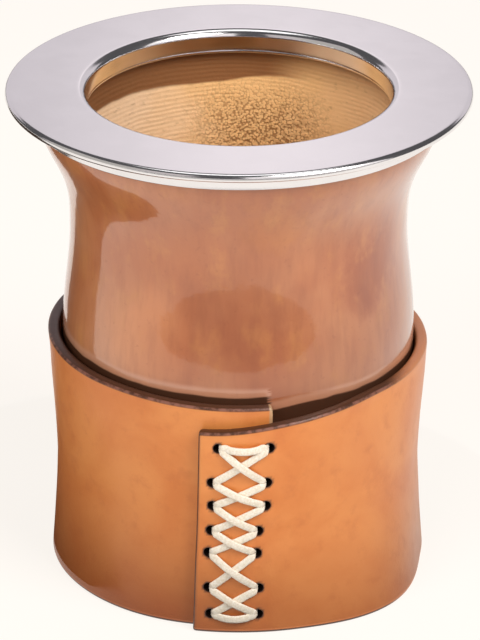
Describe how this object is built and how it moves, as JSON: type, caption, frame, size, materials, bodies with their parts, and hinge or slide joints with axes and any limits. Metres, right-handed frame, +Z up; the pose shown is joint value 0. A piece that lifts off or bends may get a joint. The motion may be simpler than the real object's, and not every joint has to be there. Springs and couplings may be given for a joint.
{
  "type": "mate gourd cup",
  "caption": "Dried gourd cup with a wide steel rim, a laced leather sleeve round its foot and an open, empty inside for steeping and sipping a herbal drink.",
  "frame": {"origin": "centre of the base, on the surface that the cup stands on", "axes": "+Z up through the mouth; -Y towards the lacing at the front; +X to the right of the lacing"},
  "size_m": [0.096, 0.096, 0.105],
  "materials": {
    "gourd_skin": "dried gourd, copper brown and glossy outside, pale gold and dull inside",
    "rim_steel": "satin stainless steel with a polished lip",
    "tan_leather": "smooth vegetable-tanned leather with dark burnished edges",
    "waxed_lace": "off-white flat waxed cord"
  },
  "bodies": {
    "root": {"gourd": "gourd_skin", "rim_plate": "rim_steel", "rim_skirt": "rim_steel", "sleeve": "tan_leather", "lace": "waxed_lace"}
  },
  "joints": []
}
